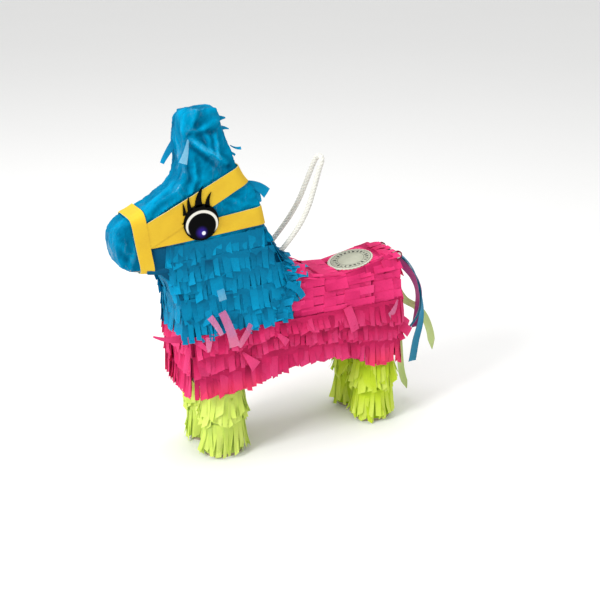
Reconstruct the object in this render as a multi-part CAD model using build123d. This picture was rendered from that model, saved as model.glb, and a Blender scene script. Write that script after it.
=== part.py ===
from build123d import *
import os
from math import atan2, cos, degrees, hypot, pi, radians, sin, tan

# Small donkey pinata: a hollow card shell on four card legs, covered in rows of fringed tissue.
# Millimetres, +Z up, head towards -X, the donkey's left side towards -Y.
# The origin is on the ground, under the middle of the box around the donkey.

card = 1.5  # wall of the shell and the legs
tissue = 1.2  # one row of fringe, its plies pressed flat
strap = 0.6  # doubled paper of the halter
sticker = 0.5  # printed card of an eye
gap = 0.3  # room between pieces that move past each other

# Side outline of the card, anticlockwise from the front of the belly, one stretch per edge strip.
stretches = {
    "belly_panel": [(-69, 54)],
    "rump_strip": [(72, 54), (73, 108)],
    "back_strip": [(69, 111), (34, 103.2), (8, 106.5)],
    "nape_strip": [(-4, 118), (-13, 131), (-21.5, 147)],
    "ear_strip": [(-35, 181), (-43.5, 205), (-47, 214), (-62.5, 213)],
    "forehead_strip": [(-64, 183), (-66.5, 175), (-72, 169), (-80, 165), (-88, 160)],
    "muzzle_strip": [(-96, 156), (-103.5, 154), (-107.5, 150), (-108, 143), (-106, 133)],
    "jaw_strip": [(-102, 127.5), (-84, 124.5)],
    "chest_strip": [(-76, 117), (-72.5, 104), (-69, 62)],
}
half_widths = [(0, 22.5), (84, 22.5), (112, 14), (145, 9.5), (230, 9.2)]  # (height, half width of the card)
skirt_bottom = 44  # the covered outline goes on below the belly, for the hem that hangs free

leg_places = {"front": -48, "rear": 60}  # X of each pair
leg_half_gap = 12.5
leg_radii = (11.8, 8.8)  # along X, along Y
leg_height = 54
leg_rows = {"lower": (2.5, 25), "upper": (25, 44.5)}

# Zones of the covering, as outlines in the side view or as height bands.
muzzle_zone = [(-125, 110), (-91, 110), (-97, 170), (-125, 170)]
shoulder_zone = [(-6, 84), (95, 84), (95, 130), (18.6, 130)]
head_bottom = 141
ear_bottom = 182
neck_tops = [141, 127, 113, 99, 84]
body_tops = [84, 71, 58, 45.5]
saddle_cuts = [-10, 17, 35, 50, 64.5, 95]

# The halter, as outlines in the side view.
noseband_zone = [(-104.4, 160), (-94.6, 122), (-84.4, 122), (-95.6, 165)]
crown_zone = [(-95, 152.8), (-90, 139.4), (-68.4, 150.5), (-20, 175), (-24, 185.5)]
throat_zone = [(-90, 139.4), (-62, 139.4), (-8, 145.5), (-8, 157), (-90, 147.2)]

eye_centre = (-58.4, 151.1)
eye_radius = 10.8
lash_tips = [(-68.7, 163.6), (-65.5, 167.4), (-57, 172.4), (-51.8, 168.2)]

flap_front = 36  # X of the flap's free edge
flap_length = 28
flap_half_width = 11
label_radius = 15
label_thickness = 0.6

cord = 3.4
exit_half_gap = 8  # the two strands leave this far from the middle
exit_point = (-6.2, 123.3)
exit_normal = 34.7  # degrees above +X, the way the covered nape faces at the exits
slot_up = 5.6  # the card is slotted this far towards the head from each exit
slot_down = 3
knot_radius = 3.1
# One strand of the hanging loop, from its exit to the corner of the fold at the top: X, Y, Z.
strand = [
    (-6.2, 8, 123.3),
    (4.6, 8.3, 134.3),
    (13.6, 7.2, 147.4),
    (18.8, 5.8, 160.5),
    (22.6, 4.6, 171.2),
    (25.8, 3.9, 178.2),
]

tail_hinge = (77.5, 109.6)
tie_radius = 2
tie_half_length = 11
sleeve_width = 1.6
streamer_thickness = 0.5
# Each streamer is a Bezier curve in the side view, in a lane of its own across the rump.
streamers = {
    "tail_blue_long": {"lane": (-8.7, -3.4), "curve": [(79.2, 110.4), (101, 108), (114, 70), (96.6, 27.7)]},
    "tail_blue_short": {"lane": (-8.7, -5.2), "curve": [(78.9, 108.2), (92, 100), (104, 68), (90, 47)]},
    "tail_pink": {"lane": (-2.9, 2.4), "curve": [(79.2, 110.4), (96, 106), (104, 84), (103.5, 56)]},
    "tail_lime_short": {"lane": (-2.4, 2.6), "curve": [(78.6, 107.9), (86, 92), (84, 52), (93, 26)]},
    "tail_lime_long": {"lane": (3.2, 8.7), "curve": [(79.2, 109.6), (90, 96), (92, 66), (110.9, 26)]},
}

outline = [point for stretch in stretches.values() for point in stretch]
solids = {}


def moved_edges(points, outwards):
    """The closed outline with every edge moved outwards and mitred at the corners."""
    normals = []
    for here, ahead in zip(points, points[1:] + points[:1]):
        run = hypot(ahead[0] - here[0], ahead[1] - here[1])
        normals.append(((ahead[1] - here[1]) / run, (here[0] - ahead[0]) / run))
    moved = []
    for point, before, after in zip(points, normals[-1:] + normals[:-1], normals):
        share = outwards / (1 + before[0] * after[0] + before[1] * after[1])
        moved.append(tuple(p + share * (m + n) for p, m, n in zip(point, before, after)))
    return moved


def side_prism(points):
    """A side-view outline as a prism right through the width."""
    return extrude(Plane.XZ * make_face(Polyline(*points, close=True)), amount=60, both=True)


def envelope(outwards=0):
    """What the front view allows at each height, as a prism right along the length."""
    right = [(half + outwards, height) for height, half in half_widths]
    left = [(-y, z) for y, z in reversed(right)]
    return extrude(Plane.YZ * make_face(Polyline(*right, *left, close=True)), amount=150, both=True)


def block(low, high):
    """A box from its lowest to its highest corner."""
    size = [b - a for a, b in zip(low, high)]
    return Pos(*[(a + b) / 2 for a, b in zip(low, high)]) * Box(*size)


def height_band(bottom, top):
    return block((-200, -60, bottom), (200, 60, top))


def layer(inner, outer):
    """The closed skin between two distances from the card, carried on below the belly as a skirt."""
    skirt = [(-69, skirt_bottom), (72, skirt_bottom)] + outline[2:]
    body = side_prism(moved_edges(skirt, outer)) & envelope(outer)
    if inner == 0:
        return body - (side_prism(skirt) & envelope())
    return body - (side_prism(moved_edges(skirt, inner)) & envelope(inner))


# Frames of the sloping back at the flap, and of the nape at the cord's exits.
rise = atan2(111 - 103.2, 69 - 34)
flap_origin = (flap_front, 103.2 + (flap_front - 34) * tan(rise))
back_frame = Pos(flap_origin[0], 0, flap_origin[1]) * Rot(0, -degrees(rise), 0)
hinge_reach = flap_length + gap
hinge_height = tissue + gap
flap_hinge = (
    flap_origin[0] + hinge_reach * cos(rise) - hinge_height * sin(rise),
    flap_origin[1] + hinge_reach * sin(rise) + hinge_height * cos(rise),
)
fill_hole = back_frame * block((-gap, -flap_half_width - gap, -6), (hinge_reach, flap_half_width + gap, 6))


def exit_frame(side):
    """Local +Z points out of the nape, local +X points up it, the origin is where the cord leaves."""
    place = Pos(exit_point[0], side * exit_half_gap, exit_point[1])
    return place * Rot(0, 90 - exit_normal, 0) * Rot(0, 0, 180)


def cord_slots():
    half = cord / 2 + gap
    return [exit_frame(side) * block((-slot_down, -half, -8), (slot_up, half, 8)) for side in (-1, 1)]


def build_shell():
    """Two folded side panels, and the edge strips between them."""
    whole = side_prism(outline) & envelope()
    core = envelope(-card)
    panels = whole - core
    solids["side_panel_left"] = panels & block((-200, -60, 0), (200, 0, 300))
    solids["side_panel_right"] = panels & block((-200, 0, 0), (200, 60, 300))
    inner = moved_edges(outline, -card)
    first = 0
    for name, stretch in stretches.items():
        last = first + len(stretch)
        corners = [i % len(outline) for i in range(first, last + 1)]
        loop = [outline[i] for i in corners] + [inner[i] for i in reversed(corners)]
        solids[name] = side_prism(loop) & core
        first = last
    solids["back_strip"] -= fill_hole
    for slot in cord_slots():
        solids["nape_strip"] -= slot


def build_legs():
    """Each leg is an oval card tube with a sole, and two rows of fringe."""
    long, wide = leg_radii

    def oval(extra, bottom, top):
        return Pos(0, 0, bottom) * extrude(Ellipse(long + extra, wide + extra), amount=top - bottom)

    for pair, x in leg_places.items():
        for side, y in (("left", -leg_half_gap), ("right", leg_half_gap)):
            name = f"{pair}_{side}"
            place = Pos(x, y, 0)
            solids[f"leg_{name}"] = place * (oval(0, card, leg_height) - oval(-card, card, leg_height))
            solids[f"sole_{name}"] = place * oval(0, 0, card)
            for row, (bottom, top) in leg_rows.items():
                solids[f"leg_{name}_row_{row}"] = place * (oval(tissue, bottom, top) - oval(0, bottom, top))


def build_covering():
    """Wraps on the head, rows round the neck and the body, rows across the back."""
    cover = layer(0, tissue)
    muzzle = side_prism(muzzle_zone)
    shoulder = side_prism(shoulder_zone)
    solids["muzzle_wrap"] = cover & muzzle
    solids["ear_wrap"] = cover & height_band(ear_bottom, 300)
    solids["head_wrap"] = (cover & height_band(head_bottom, ear_bottom)) - muzzle
    for number, (top, bottom) in enumerate(zip(neck_tops, neck_tops[1:]), 1):
        row = (cover & height_band(bottom, top)) - muzzle - shoulder
        for slot in cord_slots():
            row -= slot
        solids[f"neck_row_{number}"] = row
    for number, (top, bottom) in enumerate(zip(body_tops, body_tops[1:]), 1):
        solids[f"body_row_{number}"] = cover & height_band(bottom, top)
    for number, (front, rear) in enumerate(zip(saddle_cuts, saddle_cuts[1:]), 1):
        row = cover & shoulder & block((front, -60, 84), (rear, 60, 200))
        solids[f"saddle_row_{number}"] = row - fill_hole


def build_halter():
    """Three paper straps over the tissue."""
    band = layer(tissue, tissue + strap)
    noseband = side_prism(noseband_zone)
    crown = side_prism(crown_zone)
    solids["noseband"] = band & noseband
    solids["crown_strap"] = (band & crown) - noseband
    solids["throat_strap"] = (band & side_prism(throat_zone)) - noseband - crown


def build_eyes():
    """A die-cut card eye with four lashes on each cheek, on top of the straps."""
    x, z = eye_centre
    disc = Pos(x, 0, z) * Rot(90, 0, 0) * Cylinder(eye_radius, 80)
    for tip_x, tip_z in lash_tips:
        lean = atan2(tip_z - z, tip_x - x)
        root = 0.9 * eye_radius
        foot = [(x + root * cos(lean + side * 0.2), z + root * sin(lean + side * 0.2)) for side in (-1, 1)]
        disc += side_prism([(tip_x, tip_z)] + foot)
    sheet = envelope(tissue + strap + sticker) - envelope(tissue + strap)
    solids["eye_left"] = sheet & disc & block((-200, -60, 0), (200, 0, 300))
    solids["eye_right"] = sheet & disc & block((-200, 0, 0), (200, 60, 300))


def build_fill_flap():
    """The flap cut in the back, its own tissue, and the round label stuck over both."""
    plan = (-flap_half_width, flap_half_width)
    solids["fill_flap"] = back_frame * block((0, plan[0], -card), (flap_length, plan[1], 0))
    solids["flap_tissue"] = back_frame * block((0, plan[0], 0), (flap_length, plan[1], hinge_height))
    disc = extrude(Circle(label_radius), amount=label_thickness)
    solids["label"] = back_frame * Pos(flap_length - label_radius - gap, 0, hinge_height) * disc


def build_hanging_loop():
    """One cord, doubled into a loop outside the nape, with a knot on each end inside it."""
    other = [(x, -y, z) for x, y, z in reversed(strand)]
    route = [Vector(*point) for point in strand + other]
    radii = []
    for before, here, after in zip(route, route[1:], route[2:]):
        turn = radians((here - before).get_angle(after - here))
        radii.append(0.45 * min((here - before).length, (after - here).length) / tan(turn / 2))
    path = FilletPolyline(*route, radius=radii)
    start = Plane(route[0], z_dir=route[1] - route[0])
    solids["hang_loop"] = sweep(start * Circle(cord / 2), path=path)
    print("loop length", round(path.length, 1), "radii", [round(r, 1) for r in radii])
    ideal = pi * cord**2 / 4 * path.length
    print("loop volume over section times length", round(solids["hang_loop"].volume / ideal, 4))
    depth = tissue + card + knot_radius + 0.1
    for name, side in (("loop_knot_left", -1), ("loop_knot_right", 1)):
        stub = extrude(Circle(cord / 2), amount=depth - 2)
        solids[name] = exit_frame(side) * Pos(0, 0, -depth) * (Sphere(knot_radius) + stub)


def bezier(curve, t):
    weights = [(1 - t) ** 3, 3 * t * (1 - t) ** 2, 3 * t * t * (1 - t), t**3]
    return tuple(sum(w * point[axis] for w, point in zip(weights, curve)) for axis in (0, 1))


def build_tail():
    """A rolled tie in two paper sleeves on the rump, with five streamers hanging from it."""
    x, z = tail_hinge
    across = Rot(90, 0, 0)
    solids["tail_tie"] = Pos(x, 0, z) * across * Cylinder(tie_radius, 2 * tie_half_length)
    rump = 73 + tissue + 0.05
    tab = block((rump, -tie_half_length, 97), (rump + 0.8, tie_half_length, z))
    for side in (-1, 1):
        middle = side * (tie_half_length - sleeve_width / 2)
        tab += Pos(x, middle, z) * across * Cylinder(tie_radius + 0.9, sleeve_width)
    bore = Pos(x, 0, z) * across * Cylinder(tie_radius + 0.08, 60)
    room = Pos(x, 0, z) * across * Cylinder(tie_radius + 0.9, 2 * (tie_half_length - sleeve_width))
    solids["tail_tab"] = tab - bore - room
    steps = 12
    for name, streamer in streamers.items():
        points = [bezier(streamer["curve"], step / steps) for step in range(steps + 1)]
        edges = {-1: [], 1: []}
        for here, ahead in zip(points, points[1:] + [None]):
            if ahead:
                run = hypot(ahead[0] - here[0], ahead[1] - here[1])
                normal = ((here[1] - ahead[1]) / run, (ahead[0] - here[0]) / run)
            for side, line in edges.items():
                half = side * streamer_thickness / 2
                line.append((here[0] + normal[0] * half, here[1] + normal[1] * half))
        strip = side_prism(edges[-1] + edges[1][::-1])
        low, high = streamer["lane"]
        solids[name] = (strip & block((60, low, 0), (130, high, 130))) - solids["tail_tie"]


build_shell()
build_legs()
build_covering()
build_halter()
build_eyes()
build_fill_flap()
build_hanging_loop()
build_tail()
print("flap hinge at", [round(v, 2) for v in flap_hinge], "rise", round(degrees(rise), 2))

os.makedirs("parts", exist_ok=True)
for name, solid in solids.items():
    export_step(solid, f"parts/{name}.step")
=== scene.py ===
import math
import random

import bmesh
import bpy
from mathutils import Matrix, Vector, noise
from mathutils.bvhtree import BVHTree


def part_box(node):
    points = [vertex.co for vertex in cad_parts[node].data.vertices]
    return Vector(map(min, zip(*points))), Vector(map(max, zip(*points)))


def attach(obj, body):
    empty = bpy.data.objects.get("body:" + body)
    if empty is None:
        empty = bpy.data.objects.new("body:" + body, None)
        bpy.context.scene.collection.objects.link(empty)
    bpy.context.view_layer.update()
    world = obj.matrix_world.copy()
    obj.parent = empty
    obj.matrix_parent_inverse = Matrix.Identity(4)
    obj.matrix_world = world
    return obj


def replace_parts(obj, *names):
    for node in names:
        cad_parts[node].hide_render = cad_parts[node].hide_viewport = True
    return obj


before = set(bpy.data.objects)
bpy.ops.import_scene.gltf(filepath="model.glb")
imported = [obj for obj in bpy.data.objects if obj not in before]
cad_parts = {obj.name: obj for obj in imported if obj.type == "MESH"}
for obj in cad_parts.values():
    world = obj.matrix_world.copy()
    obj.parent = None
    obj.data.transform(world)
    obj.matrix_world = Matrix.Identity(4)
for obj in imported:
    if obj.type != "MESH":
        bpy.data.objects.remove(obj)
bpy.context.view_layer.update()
scene = bpy.context.scene
mm = 0.001


def inMetres(points):
    return [Vector(p) * mm for p in points]


def held(name, data):
    # a new object in the scene for this mesh, curve, lamp or camera
    holder = bpy.data.objects.new(name, data)
    scene.collection.objects.link(holder)
    return holder


cameraView = {
    "azimuth": -27,  # degrees round the donkey, 0 looks at its left side
    "elevation": 21,
    "distance": 0.7,
    "target": (0.012, 0, 0.0865),
    "lens": 66.2,
}


def makeCamera(view):
    turn = math.radians(view["azimuth"])
    rise = math.radians(view["elevation"])
    back = Vector((math.sin(turn) * math.cos(rise), -math.cos(turn) * math.cos(rise),
                   math.sin(rise)))
    data = bpy.data.cameras.new("camera")
    data.lens = view["lens"]
    data.sensor_width = 36
    data.clip_start = 0.01
    camera = held("camera", data)
    camera.location = Vector(view["target"]) + back * view["distance"]
    camera.rotation_euler = (-back).to_track_quat("-Z", "Y").to_euler()
    scene.camera = camera


makeCamera(cameraView)


class Wire:
    # one output socket, so that sums on it read as plain maths

    def __init__(self, maker, socket):
        self.maker = maker
        self.socket = socket

    def sum(self, operation, *values):
        settings = {"operation": operation}
        return self.maker.add("ShaderNodeMath", settings, dict(enumerate(values)))[0]

    def __add__(self, other):
        return self.sum("ADD", self, other)

    def __radd__(self, other):
        return self.sum("ADD", other, self)

    def __sub__(self, other):
        return self.sum("SUBTRACT", self, other)

    def __rsub__(self, other):
        return self.sum("SUBTRACT", other, self)

    def __mul__(self, other):
        return self.sum("MULTIPLY", self, other)

    def __rmul__(self, other):
        return self.sum("MULTIPLY", other, self)

    def __truediv__(self, other):
        return self.sum("DIVIDE", self, other)

    def __pow__(self, other):
        return self.sum("POWER", self, other)

    def sin(self):
        return self.sum("SINE", self)

    def cos(self):
        return self.sum("COSINE", self)

    def root(self):
        return self.sum("SQRT", self)

    def size(self):
        return self.sum("ABSOLUTE", self)

    def above(self, edge):
        return self.sum("GREATER_THAN", self, edge)

    def most(self, other):
        return self.sum("MAXIMUM", self, other)

    def least(self, other):
        return self.sum("MINIMUM", self, other)

    def step(self, start, end):
        # 0 before start and 1 after end, smooth between them
        settings = {"interpolation_type": "SMOOTHSTEP"}
        values = {0: self, 1: start, 2: end, 3: 0.0, 4: 1.0}
        return self.maker.add("ShaderNodeMapRange", settings, values)[0]


class Maker:
    # adds nodes to one tree

    def __init__(self, tree):
        self.tree = tree

    def add(self, kind, settings=None, values=None):
        node = self.tree.nodes.new(kind)
        for name, value in (settings or {}).items():
            if name == "stops":
                ramp = node.color_ramp
                while len(ramp.elements) < len(value):
                    ramp.elements.new(0.5)
                for element, (place, colour) in zip(ramp.elements, value):
                    element.position = place
                    element.color = (*colour, 1)
            else:
                setattr(node, name, value)
        for key, value in (values or {}).items():
            if isinstance(value, Wire):
                self.tree.links.new(value.socket, node.inputs[key])
            elif isinstance(value, tuple) and node.inputs[key].type == "RGBA" and len(value) == 3:
                node.inputs[key].default_value = (*value, 1)
            else:
                node.inputs[key].default_value = value
        return [Wire(self, socket) for socket in node.outputs]

    def vector(self, operation, *values):
        settings = {"operation": operation}
        return self.add("ShaderNodeVectorMath", settings, dict(enumerate(values)))[0]

    def stretch(self, direction, amount):
        values = {0: direction, 3: amount}
        return self.add("ShaderNodeVectorMath", {"operation": "SCALE"}, values)[0]

    def blend(self, factor, first, second, way="MIX"):
        settings = {"data_type": "RGBA", "blend_type": way}
        return self.add("ShaderNodeMix", settings, {0: factor, 6: first, 7: second})[2]


def hexColour(code):
    # display colour to scene linear
    parts = [int(code[i:i + 2], 16) / 255 for i in (0, 2, 4)]
    return tuple(c / 12.92 if c <= 0.04045 else ((c + 0.055) / 1.055) ** 2.4 for c in parts)


class Finish(Maker):
    # a material with a Principled shader

    def __init__(self, name, **fixed):
        self.material = bpy.data.materials.new(name)
        self.material.use_nodes = True
        super().__init__(self.material.node_tree)
        self.shader = self.tree.nodes["Principled BSDF"]
        for key, value in fixed.items():
            self.shader.inputs[key.replace("_", " ")].default_value = value

    def place(self):
        return self.add("ShaderNodeTexCoord")[3]

    def attribute(self, name):
        return self.add("ShaderNodeAttribute", {"attribute_name": name})[2]

    def parts(self, vector):
        return self.add("ShaderNodeSeparateXYZ", None, {0: vector})

    def joined(self, x, y, z):
        return self.add("ShaderNodeCombineXYZ", None, {0: x, 1: y, 2: z})[0]

    def ramp(self, shade, *stops):
        return self.add("ShaderNodeValToRGB", {"stops": stops}, {0: shade})[0]

    def grain(self, vector, scale, detail=3.0):
        values = {"Vector": vector, "Scale": scale, "Detail": detail, "Roughness": 0.55}
        return self.add("ShaderNodeTexNoise", None, values)[0]

    def stretched(self, vector, scale):
        return self.vector("MULTIPLY", vector, scale)

    def drive(self, socket, wire):
        self.tree.links.new(wire.socket, self.shader.inputs[socket])

    def bump(self, height, distance, strength=1.0):
        values = {"Height": height, "Distance": distance, "Strength": strength}
        self.drive("Normal", self.add("ShaderNodeBump", None, values)[0])

    def throughLight(self, share, colour):
        # some light comes through the sheet from behind
        thin = self.add("ShaderNodeBsdfTranslucent", None, {0: colour})[0]
        mix = self.tree.nodes.new("ShaderNodeMixShader")
        mix.inputs[0].default_value = share
        self.tree.links.new(self.shader.outputs[0], mix.inputs[1])
        self.tree.links.new(thin.socket, mix.inputs[2])
        output = self.tree.nodes["Material Output"]
        self.tree.links.new(mix.outputs[0], output.inputs[0])


def tissueFinish(name, light, middle, dark, through=0.22, warm=None, pale=None, spread=0.42,
                 solid=1.0):
    # thin crepe tissue: each finger has its own tint, tips are paler and roots darker as painted
    # shade under the row above, fine lengthwise grain
    f = Finish(name, Roughness=0.5, Specular_IOR_Level=0.1, Alpha=solid)
    place = f.place()
    tint = f.attribute("tint")
    along = f.attribute("along")
    across = f.attribute("across")
    cloud = f.grain(place, 60.0, 4.0)
    speck = f.grain(place, 900.0, 2.0)
    # painted shade: the along term darkens each finger towards its root, where the row above lies
    # over it, and lightens its tip
    shade = ((tint - 0.5) + along * 0.95) * spread + cloud * 0.4 + 0.09
    colour = f.ramp(shade, (0.1, dark), (0.45, middle), (0.92, light))
    colour = f.blend((speck - 0.5) * 0.3 + 0.1, colour, dark, "MULTIPLY")
    if warm:
        x, _, z = f.parts(place)
        frontLeg = (x - warm["front"]).size().step(0.016, 0.026)
        rearLeg = (x - warm["rear"]).size().step(0.010, 0.015)
        nearLegs = 1 - frontLeg.least(rearLeg)
        colour = f.blend((1 - z.step(0.045, 0.057)) * nearLegs * 0.75, colour, warm["colour"])
    if pale:
        front = 1 - f.parts(place)[0].step(-0.01, 0.02)
        colour = f.blend(front * 0.35, colour, pale)
    f.drive("Base Color", colour)
    fibre = f.grain(f.joined(across * 9.0 + tint * 30.0, along * 1.6, tint * 7.0), 3.0)
    crepe = f.grain(place, 1500.0, 2.0)
    crumple = f.grain(place, 240.0, 3.0)
    f.bump(fibre * 0.5 + crepe * 0.2 + crumple * 0.6, 0.00045, 0.7)
    f.drive("Roughness", 0.48 + cloud * 0.2)
    f.throughLight(through, colour)
    return f.material


def wrapFinish(name, light, middle, dark):
    # the same tissue pasted down as one sheet: long soft creases with painted shade in their dips
    # and painted light on their ridges, and a little glaze
    f = Finish(name, Roughness=0.4, Specular_IOR_Level=0.01, Coat_Roughness=0.16)
    place = f.place()
    cloud = f.grain(place, 38.0, 4.0)
    streak = f.grain(f.stretched(place, (60.0, 60.0, 14.0)), 1.6, 5.0)
    speck = f.grain(place, 1100.0, 2.0)
    fold = f.attribute("fold")  # high on a ridge, low in a dip
    # painted shade and painted light: the fold value darkens the colour in dips and lightens it on
    # ridges
    shade = cloud * 0.55 + streak * 0.35 + fold * 0.75 - 0.43
    colour = f.ramp(shade, (0.15, dark), (0.5, middle), (0.85, light))
    colour = f.blend((speck - 0.45) * 0.35, colour, dark, "MULTIPLY")
    f.drive("Base Color", colour)
    ridge = (f.grain(f.stretched(place, (150.0, 150.0, 70.0)), 1.0, 4.0) - 0.5).size()
    fine = (f.grain(place, 420.0, 3.0) - 0.5).size()
    f.bump((1 - ridge * 3.0) * 0.9 + fine * 0.8, 0.0008, 0.8)
    f.drive("Roughness", 0.30 + cloud * 0.28)
    patch = f.grain(place, 55.0, 2.0).step(0.5, 0.62)
    glint = ((1 - ridge * 26.0).most(0.0) * patch * 0.8).most(fold.step(0.95, 1.15) * 0.7)
    f.drive("Coat Weight", glint)
    return f.material


def paperFinish(name, base, deep):
    # sugar paper straps: soft mottling, short fibres, slightly rubbed
    f = Finish(name, Roughness=0.55, Specular_IOR_Level=0.3)
    place = f.place()
    cloud = f.grain(place, 45.0, 4.0)
    speck = f.grain(place, 1300.0, 2.0)
    fibre = f.grain(f.stretched(place, (300.0, 300.0, 1500.0)), 1.0, 3.0)
    colour = f.blend((cloud - 0.3) * 1.3, base, deep)
    colour = f.blend((speck - 0.5).size() * 0.5, colour, deep)
    f.drive("Base Color", colour)
    f.bump(fibre * 0.4 + speck * 0.4 + cloud * 0.5, 0.0003, 0.5)
    f.drive("Roughness", 0.47 + cloud * 0.16)
    return f.material


def cardFinish(name, base, deep):
    # grey board: fibres, flecks and a faint machine direction
    f = Finish(name, Roughness=0.85, Specular_IOR_Level=0.2)
    place = f.place()
    cloud = f.grain(place, 70.0, 5.0)
    fleck = f.grain(place, 900.0, 2.0).step(0.62, 0.72)
    fibre = f.grain(f.stretched(place, (500.0, 900.0, 500.0)), 1.0, 3.0)
    colour = f.blend(cloud, base, deep)
    colour = f.blend(fleck * 0.35, colour, deep, "MULTIPLY")
    f.drive("Base Color", colour)
    f.bump(fibre * 0.6 + cloud * 0.4, 0.0002, 0.6)
    f.drive("Roughness", 0.78 + fibre * 0.15)
    return f.material


def yarnFinish(name, base, deep):
    # cotton ply: fine hairs along the strand
    f = Finish(name, Roughness=0.8, Specular_IOR_Level=0.25, Sheen_Weight=0.3)
    place = f.place()
    along = f.attribute("along")
    across = f.attribute("across")
    hair = f.grain(f.joined(across * 14.0, along * 900.0, 0.0), 1.0)
    cloud = f.grain(place, 300.0, 3.0)
    f.drive("Base Color", f.blend(hair * 0.35 + cloud * 0.3 - 0.12, base, deep))
    f.bump(hair, 0.00012, 0.5)
    return f.material


def ribbonFinish(name, light, deep):
    # woven acetate ribbon: cross ribs, satin shine, a darker selvedge
    f = Finish(name, Roughness=0.34, Specular_IOR_Level=0.5)
    along = f.attribute("along")
    across = f.attribute("across")
    rib = (along * 260.0).sin() * 0.5 + 0.5
    cloud = f.grain(f.place(), 90.0, 3.0)
    edge = across.size().step(0.40, 0.48)
    colour = f.blend(cloud * 0.7, light, deep)
    colour = f.blend(edge * 0.5, colour, deep)
    f.drive("Base Color", colour)
    f.bump(rib * 0.5 + cloud * 0.5, 0.00012, 0.5)
    f.drive("Roughness", 0.28 + cloud * 0.18)
    f.throughLight(0.12, colour)
    return f.material


colours = {  # from light to dark
    "blueTissue": ("00AEE0", "008CBA", "00587E"),
    "pinkTissue": ("FB5291", "E42C6C", "97113F"),
    # painted light: a lighter copy of the pink tissue for the top of the back, which faces the
    # light
    "saddleTissue": ("FF68A6", "FA3D84", "C41E5C"),
    "limeTissue": ("F4FF80", "E0F440", "B0D00E"),
    "pinkSheer": ("FBB4D4", "F28CBC", "DC5A97"),
    "blueSheer": ("A0DCF2", "62BEE2", "1D8FBE"),
    "blueWrap": ("00A4D4", "007CA6", "005276"),
    "yellowPaper": ("E6C128", "CB9A1B"),
    "paperEdge": ("FBF0C0", "EAD48A"),
    "greyCard": ("B9AA93", "8D7F6B"),
    "whiteYarn": ("E9E8E0", "B4B2A8"),
    "blueRibbon": ("0093BE", "00708F"),
    "pinkRibbon": ("CC4A95", "9C2F6C"),
    "limeRibbon": ("D8E8A0", "B4CC70"),
}
warmHem = {"front": -0.048, "rear": 0.06, "colour": hexColour("FF4A72")}


def finished(make, name, **changes):
    return make(name, *map(hexColour, colours[name]), **changes)


blueTissue = finished(tissueFinish, "blueTissue")
pinkTissue = finished(tissueFinish, "pinkTissue", warm=warmHem)
# painted light: the pink tissue made lighter where it lies on the top of the back
saddleTissue = finished(tissueFinish, "saddleTissue", through=0.15, spread=0.22)
limeTissue = finished(tissueFinish, "limeTissue", through=0.3, pale=hexColour("F2FFAC"))
blueWrap = finished(wrapFinish, "blueWrap")
pinkSheer = finished(tissueFinish, "pinkSheer", through=0.12, solid=0.45)
blueSheer = finished(tissueFinish, "blueSheer", through=0.12, solid=0.5)
yellowPaper = finished(paperFinish, "yellowPaper")
paperEdge = finished(paperFinish, "paperEdge")
greyCard = finished(cardFinish, "greyCard")
whiteYarn = finished(yarnFinish, "whiteYarn")
ribbonFinishes = {paper: finished(ribbonFinish, paper + "Ribbon")
                  for paper in ("blue", "pink", "lime")}
print("finishes made")


def addWall(holder, thickness, offset=0):
    # gives a sheet its thickness, in millimetres
    wall = holder.modifiers.new("wall", "SOLIDIFY")
    wall.thickness = thickness * mm
    wall.offset = offset
    return wall


def keepValues(mesh, kind="FLOAT", **fields):
    # stores one value for each point under each name
    for name, values in fields.items():
        layer = mesh.attributes.new(name, kind, "POINT").data
        layer.foreach_set("value" if kind == "FLOAT" else "vector", values)


def creased(mesh, angle):
    # smooth shading with sharp edges above the angle, in degrees
    mesh.shade_smooth()
    mesh.set_sharp_from_angle(angle=math.radians(angle))


def written(shape, mesh):
    # puts the bmesh into the mesh and frees it
    shape.to_mesh(mesh)
    shape.free()
    return mesh


def newPiece(name, mesh, body, slotName, *materials):
    piece = held(name, mesh)
    mesh.materials.clear()
    for material in materials:
        mesh.materials.append(material)
    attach(piece, body)
    return piece


def meshFrom(name, points, faces, smooth=True):
    mesh = bpy.data.meshes.new(name)
    mesh.from_pydata(points, [], faces)
    mesh.update()
    if smooth:
        mesh.shade_smooth()
    return mesh


def settled(holder):
    # the evaluated object as a plain mesh; the holder goes
    graph = bpy.context.evaluated_depsgraph_get()
    mesh = bpy.data.meshes.new_from_object(holder.evaluated_get(graph))
    bpy.data.objects.remove(holder)
    return mesh


loopCord = {
    "route": [(-6.2, 8, 123.3), (4.6, 8.3, 134.3), (13.6, 7.2, 147.4), (18.8, 5.8, 160.5),
              (22.6, 4.6, 171.2), (25.8, 3.9, 178.2), (25.8, -3.9, 178.2), (22.6, -4.6, 171.2),
              (18.8, -5.8, 160.5), (13.6, -7.2, 147.4), (4.6, -8.3, 134.3), (-6.2, -8, 123.3)],
    "diameter": 3.4,
    "length": 133.5,
    "plies": 4,
    "plyShare": 0.6,  # one ply's radius as a share of the cord's
    "turn": 8.5,  # length of one full twist
    "sides": 8,
}


def splinePoints(name, route):
    # a smooth line that starts and ends on the route's end points
    curve = bpy.data.curves.new(name, "CURVE")
    curve.dimensions = "3D"
    curve.resolution_u = 26
    spline = curve.splines.new("NURBS")
    spline.points.add(len(route) - 1)
    for point, place in zip(spline.points, inMetres(route)):
        point.co = (*place, 1)
    spline.order_u = 3
    spline.use_endpoint_u = True
    mesh = settled(held(name, curve))
    points = [v.co.copy() for v in mesh.vertices]
    bpy.data.meshes.remove(mesh)
    bpy.data.curves.remove(curve)
    return points


def carriedFrames(points):
    # tangent, and two directions across it that turn as little as they can
    tangents = []
    for i in range(len(points)):
        tangents.append((points[min(i + 1, len(points) - 1)] - points[max(i - 1, 0)]).normalized())
    side = tangents[0].orthogonal().normalized()
    frames = []
    for tangent in tangents:
        side = (side - tangent * side.dot(tangent)).normalized()
        frames.append((tangent, side, tangent.cross(side)))
    return frames


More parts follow.
